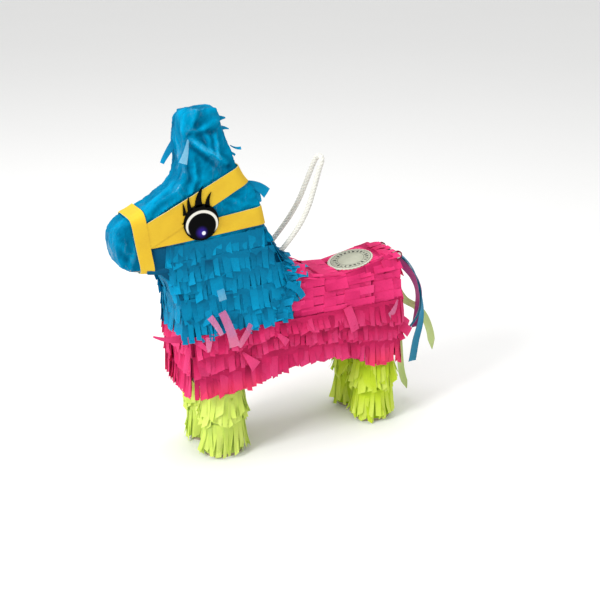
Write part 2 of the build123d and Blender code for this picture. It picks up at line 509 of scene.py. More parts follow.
def makeLoop(settings):
    points = splinePoints("loopRoute", settings["route"])
    frames = carriedFrames(points)
    gone = [0.0]
    for a, b in zip(points, points[1:]):
        gone.append(gone[-1] + (b - a).length)
    radius = settings["diameter"] * mm / 2
    ply = radius * settings["plyShare"]
    offset = radius - ply
    vertices, faces, alongs, acrosses = [], [], [], []
    sides = settings["sides"]
    for k in range(settings["plies"]):
        start = len(vertices)
        for i, (point, (tangent, one, two)) in enumerate(zip(points, frames)):
            turn = 2 * math.pi * (gone[i] / (settings["turn"] * mm) + k / settings["plies"])
            out = one * math.cos(turn) + two * math.sin(turn)
            around = tangent.cross(out)
            for j in range(sides):
                a = 2 * math.pi * j / sides
                rim = (out * math.cos(a) + around * math.sin(a)) * ply
                vertices.append(point + out * offset + rim)
                alongs.append(gone[i])
                acrosses.append(j / sides)
        for i in range(len(points) - 1):
            for j in range(sides):
                n = (j + 1) % sides
                a = start + i * sides
                faces.append((a + j, a + n, a + sides + n, a + sides + j))
        faces.append(tuple(start + j for j in reversed(range(sides))))
        faces.append(tuple(start + (len(points) - 1) * sides + j for j in range(sides)))
    mesh = meshFrom("hangLoop", vertices, faces)
    keepValues(mesh, along=alongs, across=acrosses)
    piece = newPiece("hangLoop", mesh, "loop", "white_cord", whiteYarn)
    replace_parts(piece, "hang_loop")
    print("loop", round(gone[-1] / mm, 1), "mm")


makeLoop(loopCord)


def fringeTree():
    # fingers of tissue along a guide line, with the uncut band they hang from
    tree = bpy.data.node_groups.new("fringe", "GeometryNodeTree")
    names = ["Pitch", "Width Spread", "Length Spread", "Tip Lift", "Curl", "Twist", "Sway", "Jag",
             "Band", "Ripple"]
    inputs = [("Guide", "Geometry"), *((name, "Float") for name in names), ("Seed", "Int"),
              ("Paper", "Material")]
    for name, kind in inputs:
        tree.interface.new_socket(name, in_out="INPUT", socket_type="NodeSocket" + kind)
    tree.interface.new_socket("Fringe", in_out="OUTPUT", socket_type="NodeSocketGeometry")
    m = Maker(tree)
    given = m.add("NodeGroupInput")
    guide, pitch, widthSpread, lengthSpread, tipLift, curl, twist = given[:7]
    sway, jag, band, ripple, seed, paper = given[7:13]

    def named(name, kind="FLOAT"):
        return m.add("GeometryNodeInputNamedAttribute", {"data_type": kind}, {0: name})[0]

    def keep(geometry, name, value, kind="FLOAT"):
        settings = {"data_type": kind, "domain": "POINT"}
        values = {0: geometry, 2: name, 3: value}
        return m.add("GeometryNodeStoreNamedAttribute", settings, values)[0]

    def moved(geometry, socket, vector):
        return m.add("GeometryNodeSetPosition", None, {0: geometry, socket: vector})[0]

    line = m.add("GeometryNodeMeshToCurve", None, {0: guide})[0]
    line = m.add("GeometryNodeResampleCurve", {"mode": "LENGTH"}, {0: line, 3: pitch})[0]
    line = keep(line, "finger", m.add("GeometryNodeInputIndex")[0], "INT")
    line = keep(line, "root", m.add("GeometryNodeInputPosition")[0], "FLOAT_VECTOR")
    strip = m.add("GeometryNodeMeshGrid", None, {0: 1.0, 1: 1.0, 2: 3, 3: 8})[0]
    x, y, _ = m.add("ShaderNodeSeparateXYZ", None, {0: m.add("GeometryNodeInputPosition")[0]})
    strip = keep(strip, "across", x)
    strip = keep(strip, "along", y + 0.5)
    fingers = m.add("GeometryNodeInstanceOnPoints", None, {0: line, 2: strip})[0]
    fingers = m.add("GeometryNodeRealizeInstances", None, {0: fingers})[0]

    finger = named("finger", "INT")
    across = named("across")
    along = named("along")
    reach = named("reach")
    out = named("outward", "FLOAT_VECTOR")
    flow = named("flow", "FLOAT_VECTOR")

    def chance(step):
        values = {2: 0.0, 3: 1.0, 7: finger, 8: seed + step}
        return m.add("FunctionNodeRandomValue", {"data_type": "FLOAT"}, values)[1]

    side = m.vector("NORMALIZE", m.vector("CROSS_PRODUCT", flow, out))
    width = pitch * (0.92 + widthSpread * (chance(1) - 0.35)) * (1 + chance(2).above(0.86) * 0.8)
    length = reach * (1 - lengthSpread * chance(3))
    flat = across * width * (1 - along * 0.12 * chance(11))
    turn = twist * (chance(4) * 2 - 1) * along ** 1.3
    swing = sway * (chance(5) * 2 - 1) * along ** 1.6 * reach
    moveSide = flat * turn.cos() + swing
    rise = named("rise") + tipLift * (0.15 + 0.85 * chance(6)) * along
    rise = rise + curl * (chance(7) ** 3.0) * along ** 3.0 + flat * turn.sin()
    rise = rise + ripple * ((along * 7 + chance(8) * 6.28).sin()) * along
    cutSlant = jag * (chance(9) * 2 - 1) * across * width * along
    moveFlow = length * along + cutSlant - 0.6 * mm * chance(10)
    place = m.vector("ADD", m.stretch(side, moveSide), m.stretch(flow, moveFlow))
    place = m.vector("ADD", place, m.stretch(out, rise))
    fingers = moved(fingers, 2, m.vector("ADD", named("root", "FLOAT_VECTOR"), place))
    fingers = keep(fingers, "tint", chance(12))

    top = moved(guide, 3, m.stretch(out, named("rise") + 0.15 * mm))
    values = {0: top, 2: flow, 3: reach * band}
    top = m.add("GeometryNodeExtrudeMesh", {"mode": "EDGES"}, values)[0]
    # painted shade: the uncut band takes a low along value, so the finish paints it darker, as the
    # shade under the row above
    top = keep(top, "tint", 0.5)
    top = keep(top, "along", 0.2)
    join = m.add("GeometryNodeJoinGeometry")
    joinNode = join[0].socket.node
    tree.links.new(fingers.socket, joinNode.inputs[0])
    tree.links.new(top.socket, joinNode.inputs[0])
    whole = m.add("GeometryNodeRealizeInstances", None, {0: join[0]})[0]
    whole = m.add("GeometryNodeSetShadeSmooth", None, {0: whole})[0]
    whole = m.add("GeometryNodeSetMaterial", None, {0: whole, 2: paper})[0]
    m.add("NodeGroupOutput", None, {0: whole})
    return tree


fringe = fringeTree()
fringeInputs = {item.name: item.identifier for item in fringe.interface.items_tree
                if item.in_out == "INPUT"}


def surfaceOf(names):
    points, faces = [], []
    for name in names:
        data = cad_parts[name].data
        start = len(points)
        points += [v.co.copy() for v in data.vertices]
        faces += [[start + i for i in p.vertices] for p in data.polygons]
    return BVHTree.FromPolygons(points, faces)


neckNodes = [f"neck_row_{i}" for i in range(1, 5)]
bodyNodes = [f"body_row_{i}" for i in range(1, 4)]
saddleNodes = [f"saddle_row_{i}" for i in range(1, 6)] + ["flap_tissue"]
upperSkin = surfaceOf(neckNodes + saddleNodes
                      + ["body_row_1", "head_wrap", "back_strip", "nape_strip"])
bodySkin = surfaceOf(bodyNodes + saddleNodes + ["neck_row_4"])


def roundedWalk(low, high, corner, step):
    # places and outward directions round a rectangle with round corners, anticlockwise, millimetres
    (u0, v0), (u1, v1) = low, high
    walk = []

    def run(start, end, out):
        count = max(2, int(math.dist(start, end) / step))
        for i in range(count):
            t = (i + 0.5) / count
            spot = (start[0] + (end[0] - start[0]) * t, start[1] + (end[1] - start[1]) * t)
            walk.append((spot, out))

    def bend(centre, first):
        for a in (9, 27, 45, 63, 81):
            angle = math.radians(first + a)
            out = (math.cos(angle), math.sin(angle))
            walk.append(((centre[0] + corner * out[0], centre[1] + corner * out[1]), out))

    run((u0 + corner, v0), (u1 - corner, v0), (0, -1))
    bend((u1 - corner, v0 + corner), 270)
    run((u1, v0 + corner), (u1, v1 - corner), (1, 0))
    bend((u1 - corner, v1 - corner), 0)
    run((u1 - corner, v1), (u0 + corner, v1), (0, 1))
    bend((u0 + corner, v1 - corner), 90)
    run((u0, v1 - corner), (u0, v0 + corner), (-1, 0))
    bend((u0 + corner, v0 + corner), 180)
    return walk


def touch(skin, place, out, far=0.06):
    # where a line from outside first meets the skin
    hit, normal, _, _ = skin.ray_cast(place + out * far, -out, far * 2)
    return hit, normal


guideLimits = {
    "muzzleX": -79,  # in front of this x and above this z no finger starts
    "muzzleZ": 124.5,
    "jump": 12,  # a longer step on the skin ends the line
    "agree": 0.55,  # how well the skin's own fall has to agree with the wanted one
    "softness": 2,
}


def guideAlong(skin, stations, drop, reach, rise, fallback, closed):
    # each station is (place, outward direction); drop moves it to where the finger tips lie
    front, chinHeight = guideLimits["muzzleX"] * mm, guideLimits["muzzleZ"] * mm
    jump = guideLimits["jump"] * mm
    rows = []
    for place, out in stations:
        hit, normal = touch(skin, place, out)
        if hit is None or (hit.x < front and hit.z > chinHeight):
            rows.append(None)
            continue
        if normal.dot(out) < 0:
            normal = -normal
        tip, _ = touch(skin, place + drop, out)
        flow = (tip - hit).normalized() if tip else fallback
        if flow.dot(fallback) < guideLimits["agree"]:
            flow = fallback
        rows.append([hit, (normal + out * 0.6).normalized(), flow])
    chains, chain = [], []
    for row in rows:
        if row is None or (chain and (row[0] - chain[-1][0]).length > jump):
            if len(chain) > 2:
                chains.append(chain)
            chain = []
        if row is not None:
            chain.append(row)
    if len(chain) > 2:
        chains.append(chain)
    joined = closed and len(chains) == 1 and (chains[0][0][0] - chains[0][-1][0]).length < jump
    made = []
    for chain in chains:
        for _ in range(guideLimits["softness"]):
            last = len(chain) - 1
            before = [[v.copy() for v in row] for row in chain]
            for i, row in enumerate(chain):
                prior = before[(i - 1) % len(chain)] if joined else before[max(i - 1, 0)]
                after = before[(i + 1) % len(chain)] if joined else before[min(i + 1, last)]
                row[1] = (before[i][1] * 2 + prior[1] + after[1]).normalized()
                row[2] = (before[i][2] * 2 + prior[2] + after[2]).normalized()
                if joined or 0 < i < last:
                    row[0] = before[i][0] * 0.5 + (prior[0] + after[0]) * 0.25
        made.append({
            "points": [r[0] for r in chain],
            "outward": [r[1] for r in chain],
            "flow": [(r[2] - r[1] * r[2].dot(r[1]) * 0.6).normalized() for r in chain],
            "reach": [(reach(*(r[0] / mm)) if callable(reach) else reach) * mm for r in chain],
            "rise": [rise * mm] * len(chain),
            "closed": joined,
        })
    return made


fringeHabit = {
    "Pitch": 3.7, "Width Spread": 0.5, "Length Spread": 0.16, "Tip Lift": 1.1, "Curl": 2.4,
    "Twist": 0.3, "Sway": 0.07, "Jag": 0.4, "Band": 0.35, "Ripple": 0.2, "Seed": 1,
}
lengthInputs = ("Pitch", "Tip Lift", "Curl", "Ripple")  # these are in millimetres
tissueThickness = 0.14
groundGap = 0.4


def mergedCopy(node):
    # the uncut paper under the fingers: a copy of the frame's own solid, which the finish paints
    # dark as the shade between the fingers
    shape = bmesh.new()
    shape.from_mesh(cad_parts[node].data)
    bmesh.ops.remove_doubles(shape, verts=shape.verts, dist=1e-6)
    return written(shape, bpy.data.meshes.new(node + "Copy"))


def makeFringe(name, guides, paper, slotName, body, nodes, backing=(), **changes):
    habit = {**fringeHabit, **changes}
    points, edges, fields = [], [], {"outward": [], "flow": [], "reach": [], "rise": []}
    for guide in guides:
        start = len(points)
        count = len(guide["points"])
        points += guide["points"]
        edges += [(start + i, start + i + 1) for i in range(count - 1)]
        if guide["closed"]:
            edges.append((start + count - 1, start))
        for key in fields:
            fields[key] += guide[key]
    mesh = bpy.data.meshes.new(name)
    mesh.from_pydata(points, edges, [])
    for key in ("outward", "flow"):
        keepValues(mesh, "FLOAT_VECTOR", **{key: [c for v in fields[key] for c in v]})
    keepValues(mesh, reach=fields["reach"], rise=fields["rise"])
    holder = held(name + "Guide", mesh)
    modifier = holder.modifiers.new("fringe", "NODES")
    modifier.node_group = fringe
    for key, value in habit.items():
        modifier[fringeInputs[key]] = value * mm if key in lengthInputs else value
    modifier[fringeInputs["Paper"]] = paper
    addWall(holder, tissueThickness)
    plain = settled(holder)
    plain.shade_smooth()
    for vertex in plain.vertices:
        vertex.co.z = max(vertex.co.z, groundGap * mm)
    # painted shade: the backing copies carry no tint or along values, so the finish gives them its
    # darkest colour, the shade under the fingers
    if backing:
        shape = bmesh.new()
        shape.from_mesh(plain)
        for node in backing:
            shape.from_mesh(mergedCopy(node))
        written(shape, plain)
        plain.polygons.foreach_set("material_index", [0] * len(plain.polygons))
    plain.set_sharp_from_angle(angle=math.radians(50))
    for spare in ("outward", "flow", "reach", "rise", "root", "finger"):
        if spare in plain.attributes:
            plain.attributes.remove(plain.attributes[spare])
    piece = newPiece(name, plain, body, slotName, paper)
    if nodes:
        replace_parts(piece, *nodes)


def changesOf(row):
    # the fringe inputs that this row changes
    return {key: row[key] for key in row if key in fringeHabit}


def levelRing(low, high, corner, height, step=2.2, keep=None):
    # stations round the object at one height; height may be a number or a rule of x and y
    stations = []
    for (x, y), out in roundedWalk(low, high, corner, step):
        if keep and not keep(x, y):
            stations.append((Vector((9, 9, 9)), Vector((0, 0, 1))))
            continue
        z = height(x, y) if callable(height) else height
        stations.append((Vector((x, y, z)) * mm, Vector((*out, 0))))
    return stations


down = Vector((0, 0, -1))
backwards = Vector((1, 0, 0))

neckRows = {
    "frontX": -77.0,
    "rows": [  # height in front and at the nape, half width, finger length, changes to the habit
        {"top": 138.6, "rear": 142.8, "napeX": -16.0, "width": 10.7, "reach": 13.5, "Pitch": 5.4,
         "Band": 0.8, "Tip Lift": 0.4, "Curl": 0.8, "Length Spread": 0.3, "Seed": 11},
        {"top": 129.5, "rear": 131.0, "napeX": -9.0, "width": 12.5, "reach": 14.0, "Pitch": 4.0,
         "Seed": 23},
        {"top": 118.5, "rear": 120.0, "napeX": -2.5, "width": 14.2, "reach": 15.5, "Pitch": 3.9,
         "Seed": 31},
        {"top": 106.5, "rear": 108.5, "napeX": 7.0, "width": 17.0, "reach": 15.5, "Pitch": 3.8,
         "Seed": 47},
        {"top": 95.0, "rear": 97.5, "napeX": 6.0, "width": 21.0, "reach": 14.0, "Pitch": 3.8,
         "Seed": 59},
    ],
    "chin": {"row": 2, "height": 123.5, "behind": -60, "reach": 14.0, "rise": 0.6},
}


def shoulderX(z):
    # the blue ends here on the flank, further back as it climbs
    return -6 + (z - 84) * 0.535


def makeNeck(settings):
    front, chin = settings["frontX"], settings["chin"]
    for i, row in enumerate(settings["rows"]):
        low = (front, -row["width"])
        high = (row["napeX"], row["width"])
        reach = row["reach"]
        limit = shoulderX(row["rear"]) - 7 if row["top"] < 110 else None
        keep = (lambda x, y: x < limit) if limit is not None else None
        guides = []
        for rise, extra, offset in ((0.25, 0.5, -0.8), (0.7, 0, 0.0)):
            def height(x, y):
                return row["top"] + offset + (row["rear"] - row["top"]) * (x - front) / 75

            stations = levelRing(low, high, 5, height, keep=keep)
            guides += guideAlong(upperSkin, stations, down * reach * 0.8 * mm, reach + extra, rise,
                                 down, limit is None)
        if i == chin["row"]:  # a short row under the chin
            stations = levelRing(low, high, 5, chin["height"], keep=lambda x, y: x < chin["behind"])
            guides += guideAlong(upperSkin, stations, down * 0.01, chin["reach"], chin["rise"],
                                 down, False)
        nodes = neckNodes[i:i + 1]
        makeFringe(f"neckFringe{i + 1}", guides, blueTissue, "blue_tissue", "shell", nodes, nodes,
                   **changesOf(row))


makeNeck(neckRows)

bodyRows = {
    "low": (-76.5, -23.9),
    "high": (73.5, 23.9),
    "seam": 83.5,  # where the first row starts
    "places": [-76, -40, -20, 0, 20, 38, 52, 74],  # along the body, for the hems below
    "rows": [
        {"hem": [71, 72, 75.5, 75.5, 73.5, 72, 70, 66], "Seed": 101},
        {"hem": [58, 60, 67, 66.5, 64, 61.5, 60, 56], "Seed": 113},
        {"hem": [44, 43.5, 49, 53, 53, 50, 41, 41], "Seed": 127},
    ],
}


def between(places, values, x):
    # straight lines between the given values
    if x <= places[0]:
        return values[0]
    for a, b, p, q in zip(places, places[1:], values, values[1:]):
        if x <= b:
            return p + (q - p) * (x - a) / (b - a)
    return values[-1]


def makeBody(settings):
    above = [settings["seam"]] * len(settings["places"])
    for i, row in enumerate(settings["rows"]):
        guides = []
        for rise, extra, offset in ((0.2, 0.6, -0.8), (0.7, 0, 0.0)):
            def height(x, y):
                return between(settings["places"], above, x) + 1.6 + offset

            def reach(x, y, z):
                return height(x, 0) - between(settings["places"], row["hem"], x) + extra

            stations = levelRing(settings["low"], settings["high"], 4, height)
            guides += guideAlong(bodySkin, stations, down * 0.009, reach, rise, down, True)
        nodes = [bodyNodes[i]]
        makeFringe(f"bodyFringe{i + 1}", guides, pinkTissue, "pink_tissue", "shell", nodes,
                   nodes if i < 2 else [], **changesOf(row))
        above = row["hem"]


makeBody(bodyRows)

saddleRows = {
    "places": [-10, 6, 14, 30, 50, 60, 74],  # along the body, for the hem below
    "hem": [90, 84.5, 83, 84.5, 84.5, 85.5, 90],
    "rows": [  # where the top edges of the strips cross the back, and how long their fingers are
        {"x": [(-6.5, 14.0), (4.0, 17.0)], "Seed": 201},
        {"x": [(20.0, 16.5)], "Seed": 211},
        {"x": [(34.5, 21.4)], "Seed": 223, "rise": 0.5},
        {"x": [(45.0, 9.0)], "Seed": 227, "rise": 0.05},
        {"x": [(55.5, 15.0), (66.5, 9.5)], "Seed": 239},
    ],
    "rump": {"row": 4, "heights": (110.0, 98.0), "reach": 15.0, "rise": 0.5},
    "flap": {"x": (34.8, 65.4), "y": 11.7},
    "habit": {"Pitch": 5.6, "Width Spread": 0.25, "Tip Lift": 0.35, "Curl": 0.4, "Twist": 0.08,
              "Sway": 0.03, "Jag": 0.14, "Band": 0.5, "Length Spread": 0.03, "Ripple": 0.08},
}


def saddleGuides(settings, x, reach, rise):
    top = touch(upperSkin, Vector((x, 0, 110)) * mm, Vector((0, 0, 1)))[0]
    height = top.z / mm if top else 106
    flap = settings["flap"]
    stations = []
    for (y, z), out in roundedWalk((-24, 60), (24, height), 7, 1.6):
        place = Vector((x - 3 + (z - 84) * 0.12, y, z))  # strips lean back a little as they climb
        if z < between(settings["places"], settings["hem"], place.x) + 1.2:
            continue
        overFlap = abs(place.y) < flap["y"] and out[1] > 0.7
        if overFlap and flap["x"][0] - 2 < place.x < flap["x"][1]:
            place = Vector((9000, 0, 0))  # leaves the filling door free
        stations.append((place * mm, Vector((0, *out))))

    def shortened(px, py, pz):
        if abs(py) < flap["y"] + 1 and px < flap["x"][0] and pz > 98:
            return min(reach, flap["x"][0] - px - 0.2)
        return reach

    return guideAlong(upperSkin, stations, backwards * reach * 0.8 * mm, shortened, rise,
                      backwards, False)


def makeSaddle(settings):
    rump = settings["rump"]
    for i, row in enumerate(settings["rows"]):
        guides = []
        for x, reach in row["x"]:
            guides += saddleGuides(settings, x, reach, row.get("rise", 0.2))
        if i == rump["row"]:  # the rump face below the last strip
            for z in rump["heights"]:
                stations = levelRing((0, -23), (74, 23), 3, z, keep=lambda x, y: x > 70)
                guides += guideAlong(upperSkin, stations, down * 0.010, rump["reach"],
                                     rump["rise"], down, False)
        nodes = [saddleNodes[i]]
        makeFringe(f"saddleFringe{i + 1}", guides, saddleTissue, "pink_tissue", "shell", nodes,
                   nodes, **settings["habit"], Seed=row["Seed"])


makeSaddle(saddleRows)


withers = {
    "layers": ((-1.5, 0.5), (0.0, 1.1)),  # shift along the back, height over the skin
    "lowest": 88,
    "setback": 12,
    "reach": 10.5,
    "habit": {"Seed": 307, "Pitch": 4.0, "Tip Lift": 1.6, "Curl": 2.4, "Twist": 0.4, "Sway": 0.22,
              "Length Spread": 0.4, "Band": 0.4},
}


def makeWithers(settings):
    # the last blue strip lies over the saddle, its fingers point along the back
    guides = []
    for shift, rise in settings["layers"]:
        stations = []
        for (y, z), out in roundedWalk((-24, 60), (24, 106), 7, 2.0):
            if z >= settings["lowest"]:
                x = shoulderX(z) - settings["setback"] + shift
                stations.append((Vector((x, y, z)) * mm, Vector((0, *out))))
        guides += guideAlong(upperSkin, stations, backwards * 0.008, settings["reach"], rise,
                             backwards, False)
    makeFringe("withersFringe", guides, blueTissue, "blue_tissue", "shell", [],
               **settings["habit"])


makeWithers(withers)
print("neck, body and saddle fringe made")

legRows = {
    "places": {"front_left": (-48, -12.5), "front_right": (-48, 12.5), "rear_left": (60, -12.5),
               "rear_right": (60, 12.5)},
    "half": (13.2, 10.2),
    "rows": [{"top": 54, "reach": 17.0}, {"top": 40.5, "reach": 18.5},
             {"top": 23.0, "reach": 21.8}],
    "habit": {"Pitch": 3.3, "Tip Lift": 2.4, "Curl": 2.5, "Twist": 0.7, "Sway": 0.16,
              "Length Spread": 0.24, "Jag": 0.8},
}


def makeLegs(settings):
    a, b = settings["half"]
    for n, (leg, (x, y)) in enumerate(settings["places"].items()):
        nodes = [f"leg_{leg}_row_lower", f"leg_{leg}_row_upper"]
        skin = surfaceOf(nodes)
        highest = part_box(nodes[1])[1].z / mm - 1.2
        guides = []
        for row in settings["rows"]:
            for rise, extra, offset in ((0.2, 0.3, -1.0), (0.7, 0, 0.0)):
                top = min(row["top"], highest) + offset
                stations = levelRing((x - a, y - b), (x + a, y + b), b - 0.5, top, step=2.0)
                guides += guideAlong(skin, stations, down * 0.008, row["reach"] + extra, rise,
                                     down, True)
        name = "legFringe" + "".join(word.capitalize() for word in leg.split("_"))
        makeFringe(name, guides, limeTissue, "lime_tissue", "shell", nodes, nodes,
                   Seed=401 + 13 * n, **settings["habit"])


makeLegs(legRows)
print("leg fringe made")

headWrap = {
    "outline": [
        (-64.8, 211), (-66.0, 204), (-66.2, 192), (-66.2, 183), (-68.0, 175.6), (-72.4, 170.0),
        (-80.2, 166.2), (-87.4, 161.6), (-95.4, 157.6), (-101.4, 155.4), (-104.2, 152.6),
        (-107.0, 149.2), (-108.6, 146.8), (-109.0, 142), (-108.4, 137.5), (-107.3, 132.5),
        (-105.6, 129.4), (-102.4, 127.8), (-97, 127.0), (-91, 126.2), (-84.5, 125.4),
        (-78.5, 126.0), (-77.5, 133), (-12.0, 133), (-17.0, 143), (-19.6, 155), (-24.6, 166),
        (-31.2, 174.5), (-35.6, 184), (-39.8, 194), (-43.4, 205), (-45.6, 212.6), (-46.8, 215.2),
        (-53, 215.8), (-60.0, 215.2), (-63.6, 213.4),
    ],
    "halfWidth": 10.5,
    "voxel": 0.9,
    "folds": [  # start, end, width and height of each fold, on both cheeks
        ((-62, 200), (-41, 184), 1.5, 2.0), ((-61, 197), (-44, 182.5), 1.0, 1.5),
        ((-60, 204), (-47, 208), 1.8, 1.0), ((-47.5, 201), (-46, 187), 1.2, 1.2),
        ((-63, 205), (-58, 216), 1.6, 1.1), ((-62, 192), (-60, 176), 1.4, 0.9),
        ((-62, 168), (-44, 172), 2.4, 0.7), ((-84, 158), (-70, 166), 1.6, 0.9),
        ((-88, 152), (-78, 163), 1.5, 0.8), ((-66, 162), (-60, 178), 1.4, 0.8),
        ((-104, 128), (-98, 140), 1.4, 0.9), ((-108, 146), (-100, 134), 1.6, 0.8),
        ((-103, 127), (-92, 126), 1.1, 0.9), ((-45, 166), (-30, 158), 1.5, 0.7),
        ((-54, 205), (-48, 190), 1.6, 0.8),
    ],
    "search": 5.0,  # from how far outside the card is looked for
    "clear": 0.6,  # how far the sheet stays off the card
    "slump": 4.0,  # how far the far top corner of the ear sinks
}

straps = {  # each is the slice of the wrapped head that holds its core, between two (x, z) lines
    "nosebandStrap": {
        "node": "noseband", "lift": 0.8, "core": (-95, 142),
        "edges": [((-100.2, 155.6), (-96.4, 127.6)), ((-92.0, 159.8), (-87.8, 124.5))]},
    "crownStrap": {
        "node": "crown_strap", "lift": 0.6, "core": (-62, 161),
        "edges": [((-93.2, 153.6), (-33.7, 181)), ((-89.2, 139.9), (-29.3, 170.3))]},
    "throatStrap": {
        "node": "throat_strap", "lift": 0.25, "core": (-55, 146),
        "edges": [((-89.8, 147.1), (-20.1, 155.4)), ((-89.8, 139.2), (-19.2, 144.2))]},
}
strapPaper = {
    "thickness": 0.42,
    "smoothing": 14,  # passes that take the wrap's folds out under the card
    "gap": 0.45,
    "frontEnd": ((-97.4, 157.9), (-88.6, 124.5), (-60, 150)),  # cheek straps end in the noseband
}


def neckFlare(x, z):
    # how much wider the neck gets below the throat
    return 1 + max(0, 146 - z) * 0.0128 * max(0, min(1, (x + 86) / 8))


def lineDistance(x, z, start, end):
    # distance in the side view to a segment, how far along it, and on which side
    ax, az = start
    bx, bz = end
    length = math.hypot(bx - ax, bz - az)
    ux, uz = (bx - ax) / length, (bz - az) / length
    along = (x - ax) * ux + (z - az) * uz
    off = -(x - ax) * uz + (z - az) * ux
    past = max(0, -along, along - length)
    return math.hypot(off, past), max(0, min(1, along / length)), off


def strapCover(x, z):
    # 1 under a strap, 0 away from it
    cover = 0
    for strap in straps.values():
        one, two = [lineDistance(x, z, *edge)[2] for edge in strap["edges"]]
        if one * two < 0 or min(abs(one), abs(two)) < 1.0:
            cover = 1
    return cover


def makeHead(settings):
    outline = settings["outline"]
    count = len(outline)
    half = settings["halfWidth"]
    points = [Vector((x, y, z)) * mm for y in (-half, half) for x, z in outline]
    faces = [tuple(range(count)), tuple(reversed(range(count, 2 * count)))]
    faces += [((i + 1) % count, i, count + i, count + (i + 1) % count) for i in range(count)]
    block = meshFrom("headBlock", points, faces, smooth=False)
    shape = bmesh.new()
    shape.from_mesh(block)
    bmesh.ops.recalc_face_normals(shape, faces=shape.faces)
    bmesh.ops.triangulate(shape, faces=shape.faces)
    holder = held("headBlock", written(shape, block))
    remesh = holder.modifiers.new("voxels", "REMESH")
    remesh.mode = "VOXEL"
    remesh.voxel_size = settings["voxel"] * mm
    soften = holder.modifiers.new("soften", "SMOOTH")
    soften.factor = 0.5
    soften.iterations = 1
    mesh = settled(holder)
    normals = [v.normal.copy() for v in mesh.vertices]
    card = surfaceOf(["side_panel_left", "side_panel_right", "nape_strip", "ear_strip",
                      "forehead_strip", "muzzle_strip", "jaw_strip"])
    search, clear = settings["search"] * mm, settings["clear"] * mm
    folds = []
    for vertex, normal in zip(mesh.vertices, normals):
        x, y, z = vertex.co / mm
        cheek = min(1, abs(normal.y) * 1.4)
        push = 0
        for start, end, width, height in settings["folds"]:
            away, along, off = lineDistance(x, z, start, end)
            ridge = math.exp(-(away / width) ** 2)
            dip = math.exp(-((away - 1.9 * width) / width) ** 2) * (1 if off < 0 else 0.3)
            fade = math.sin(math.pi * (0.12 + 0.76 * along))
            push += height * (ridge - 0.55 * dip) * fade * cheek
        calm = 0.18 if strapCover(x, z) else 1
        spot = Vector((x, y * 1.6, z))
        crumple = noise.noise(spot * 0.085)
        crumple += 0.95 * (0.4 - abs(noise.noise(spot * 0.19 + Vector((7, 0, 3)))))
        crumple += 0.42 * (0.4 - abs(noise.noise(spot * 0.46)))
        # painted shade and painted light: this fold value lets the wrap's finish darken dips and
        # lighten ridges
        folds.append(0.5 + push * 0.32 + crumple * 0.35)
        slump = settings["slump"] * (max(0, y) / 10) ** 2 * max(0, (z - 200) / 16)
        vertex.co.z -= slump * mm
        vertex.co.y *= neckFlare(x, z)
        vertex.co += normal * (0.3 + (push * 1.9 + crumple) * calm) * mm
        hit, facing, _, _ = card.ray_cast(vertex.co + normal * search, -normal, search + clear)
        if hit and facing.dot(normal) > 0.1:  # the sheet stays outside the card
            vertex.co = hit + normal * clear
    keepValues(mesh, fold=folds)
    mesh.shade_smooth()
    piece = newPiece("headWrap", mesh, "shell", "blue_tissue", blueWrap)
    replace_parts(piece, "head_wrap", "ear_wrap", "muzzle_wrap")
    return piece


head = makeHead(headWrap)
print("head wrapped,", len(head.data.polygons), "faces")


def cutSide(shape, start, end, keepPoint):
    # cuts the mesh across the head through two (x, z) points, and keeps the side of keepPoint
    a = Vector((start[0], 0, start[1])) * mm
    b = Vector((end[0], 0, end[1])) * mm
    normal = (b - a).cross(Vector((0, 1, 0))).normalized()
    if (Vector((keepPoint[0], 0, keepPoint[1])) * mm - a).dot(normal) < 0:
        normal = -normal
    everything = list(shape.verts) + list(shape.edges) + list(shape.faces)
    bmesh.ops.bisect_plane(shape, geom=everything, plane_co=a, plane_no=normal, clear_inner=True,
                           dist=1e-7)


def makeStrap(name, strap):
    cuts = [(*edge, strap["core"]) for edge in strap["edges"]]
    if strap["node"] != "noseband":
        cuts.append(strapPaper["frontEnd"])
    shape = bmesh.new()
    shape.from_mesh(head.data)
    for _ in range(strapPaper["smoothing"]):
        bmesh.ops.smooth_vert(shape, verts=shape.verts, factor=0.5,
                              use_axis_x=True, use_axis_y=True, use_axis_z=True)
    shape.normal_update()
    for vertex in shape.verts:
        vertex.co += vertex.normal * (strap["lift"] + strapPaper["gap"]) * mm
    for start, end, keepPoint in cuts:
        cutSide(shape, start, end, keepPoint)
    mesh = written(shape, bpy.data.meshes.new(name))
    mesh.materials.append(yellowPaper)
    mesh.materials.append(paperEdge)
    holder = held(name, mesh)
    addWall(holder, strapPaper["thickness"], 1).material_offset_rim = 1
    made = settled(holder)
    rims = [p.material_index for p in made.polygons]
    creased(made, 40)
    piece = newPiece(name, made, "shell", "yellow_paper", yellowPaper, paperEdge)
    made.polygons.foreach_set("material_index", rims)
    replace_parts(piece, strap["node"])
    return piece


strapPieces = [makeStrap(name, strap) for name, strap in straps.items()]
print("straps made")

eyePrint = {
    "lid": (-58.4, 151.1, 10.9, 10.9),  # x, z and half axes of the black card
    "white": (-58.05, 149.7, 10.0, 8.6),
    "pupil": (-58.0, 148.9, 8.7, 7.75),
    "glow": (-58.4, 145.1, 3.4),
    "glint": (-57.1, 144.5, 1.15),
    "thickness": 0.45,
    "lashes": [  # base, bend, tip and base width
        ((-68.2, 156.5), (-68.6, 160.5), (-69.2, 163.8), 2.4),
        ((-64.8, 158.8), (-66.4, 163.0), (-65.6, 167.6), 3.0),
        ((-59.6, 160.4), (-60.4, 166.5), (-56.8, 172.6), 5.0),
        ((-54.2, 159.6), (-54.6, 164.5), (-51.6, 168.4), 3.4),
        ((-68.4, 152.6), (-69.2, 151.8), (-70.2, 151.4), 1.2),
    ],
}


